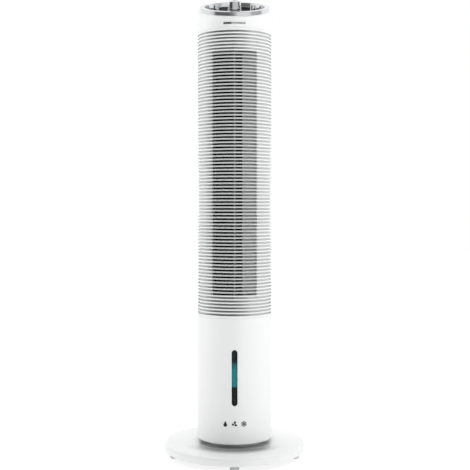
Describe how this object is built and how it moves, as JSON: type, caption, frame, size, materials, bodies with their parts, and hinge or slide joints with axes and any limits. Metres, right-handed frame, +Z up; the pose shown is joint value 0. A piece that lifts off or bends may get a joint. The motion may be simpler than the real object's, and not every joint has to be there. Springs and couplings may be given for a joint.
{
  "type": "tower evaporative cooler",
  "caption": "Tall round tower evaporative cooler: ringed air outlet grille, water level window, slanted control top with knobs, rear water tank and filter cassette, swivelling on a round base.",
  "frame": {"origin": "on the floor, under the middle of the round base, on the axis that the tower swings about", "axes": "+Z up along the tower; the air outlet and the water window face -Y; the tank and the filter come out towards +Y"},
  "size_m": [0.322, 0.322, 1.0633],
  "materials": {
    "white_shell": "satin moulded shell",
    "white_grille": "satin moulded grille",
    "chrome_plate": "plated plastic",
    "black_panel": "gloss black",
    "smoked_window": "smoked clear plastic",
    "teal_float": "moulded",
    "clear_tank": "translucent plastic",
    "foot_rubber": "moulded",
    "dark_frame": "fine grained",
    "inner_plastic": "moulded",
    "white_plastic": "moulded",
    "gear_plastic": "acetal",
    "steel_part": "zinc plated",
    "motor_can": "galvanised",
    "board_green": "solder mask",
    "pad_paper": "corrugated cellulose",
    "mesh_black": "fine dust mesh"
  },
  "bodies": {
    "base": {"base_cover": "white_shell", "base_bottom": "dark_frame", "ballast_plate": "steel_part", "rubber_feet": "foot_rubber", "base_screws": "steel_part", "swing_neck": "white_plastic", "neck_screws": "steel_part", "swing_washer": "gear_plastic", "swing_gear": "gear_plastic", "pivot_collar": "steel_part"},
    "tower": {"floor_plate": "dark_frame", "floor_screws": "steel_part", "lower_shell": "white_shell", "cord_gland": "dark_frame", "level_lens": "smoked_window", "tank_shelf": "inner_plastic", "mid_deck": "inner_plastic", "swing_motor": "motor_can", "front_grille": "white_grille", "rear_shell": "white_grille", "rear_screws": "steel_part", "bearing_plate": "inner_plastic", "lower_bearing": "steel_part", "motor_plate": "inner_plastic", "fan_motor": "motor_can", "blower_housing": "white_plastic", "outlet_tongue": "white_plastic", "drip_tray": "inner_plastic", "water_channel": "inner_plastic", "riser_pipe": "inner_plastic", "cap_deck": "inner_plastic", "control_board": "board_green", "top_cap": "white_shell", "bezel_ring": "chrome_plate", "control_panel": "black_panel", "speed_switch": "dark_frame", "timer_unit": "dark_frame", "mode_switch": "dark_frame"},
    "swing_drive": {"swing_pinion": "gear_plastic"},
    "tank_drawer": {"water_tank": "clear_tank", "tank_door": "white_shell", "tank_lid": "white_plastic", "float_guide": "dark_frame", "pump_case": "dark_frame"},
    "float": {"level_float": "teal_float"},
    "pump_rotor": {"pump_impeller": "gear_plastic"},
    "filter_cassette": {"filter_panel": "white_grille", "filter_mesh": "mesh_black", "pad_frame": "inner_plastic", "cooling_pad": "pad_paper"},
    "blower_rotor": {"blower_wheel": "dark_frame", "rotor_shafts": "steel_part"},
    "speed_control": {"speed_knob": "chrome_plate"},
    "timer_control": {"timer_knob": "chrome_plate"},
    "mode_control": {"mode_knob": "chrome_plate"}
  },
  "joints": [
    {"name": "tower_swing", "type": "hinge", "parent": "base", "child": "tower", "pos_m": [0, 0, 0.04], "axis": [0, 0, 1], "range_deg": [-35, 35]},
    {"name": "swing_pinion_turn", "type": "hinge", "parent": "tower", "child": "swing_drive", "pos_m": [0.04135, 0, 0.055], "axis": [0, 0, 1], "range_deg": [-100, 100]},
    {"name": "tank_pull", "type": "slide", "parent": "tower", "child": "tank_drawer", "axis": [0, 1, 0], "range_m": [0, 0.16]},
    {"name": "float_rise", "type": "slide", "parent": "tank_drawer", "child": "float", "axis": [0, 0, 1], "range_m": [-0.038, 0.033]},
    {"name": "pump_spin", "type": "hinge", "parent": "tank_drawer", "child": "pump_rotor", "pos_m": [0.044, 0.036, 0.114], "axis": [0, 0, 1], "continuous": true},
    {"name": "filter_pull", "type": "slide", "parent": "tower", "child": "filter_cassette", "axis": [0, 1, 0], "range_m": [0, 0.1]},
    {"name": "blower_spin", "type": "hinge", "parent": "tower", "child": "blower_rotor", "pos_m": [-0.004, -0.006, 0.646], "axis": [0, 0, 1], "continuous": true},
    {"name": "speed_turn", "type": "hinge", "parent": "tower", "child": "speed_control", "pos_m": [0, 0, 1.02472], "axis": [0, -0.3338, 0.9426], "range_deg": [-135, 0]},
    {"name": "timer_turn", "type": "hinge", "parent": "tower", "child": "timer_control", "pos_m": [-0.043, 0, 1.02472], "axis": [0, -0.3338, 0.9426], "range_deg": [-300, 0]},
    {"name": "mode_turn", "type": "hinge", "parent": "tower", "child": "mode_control", "pos_m": [0.043, 0, 1.02472], "axis": [0, -0.3338, 0.9426], "range_deg": [-45, 45]}
  ],
  "couplings": [
    {"joint": "swing_pinion_turn", "follows": "tower_swing", "ratio": 2.6667}
  ]
}
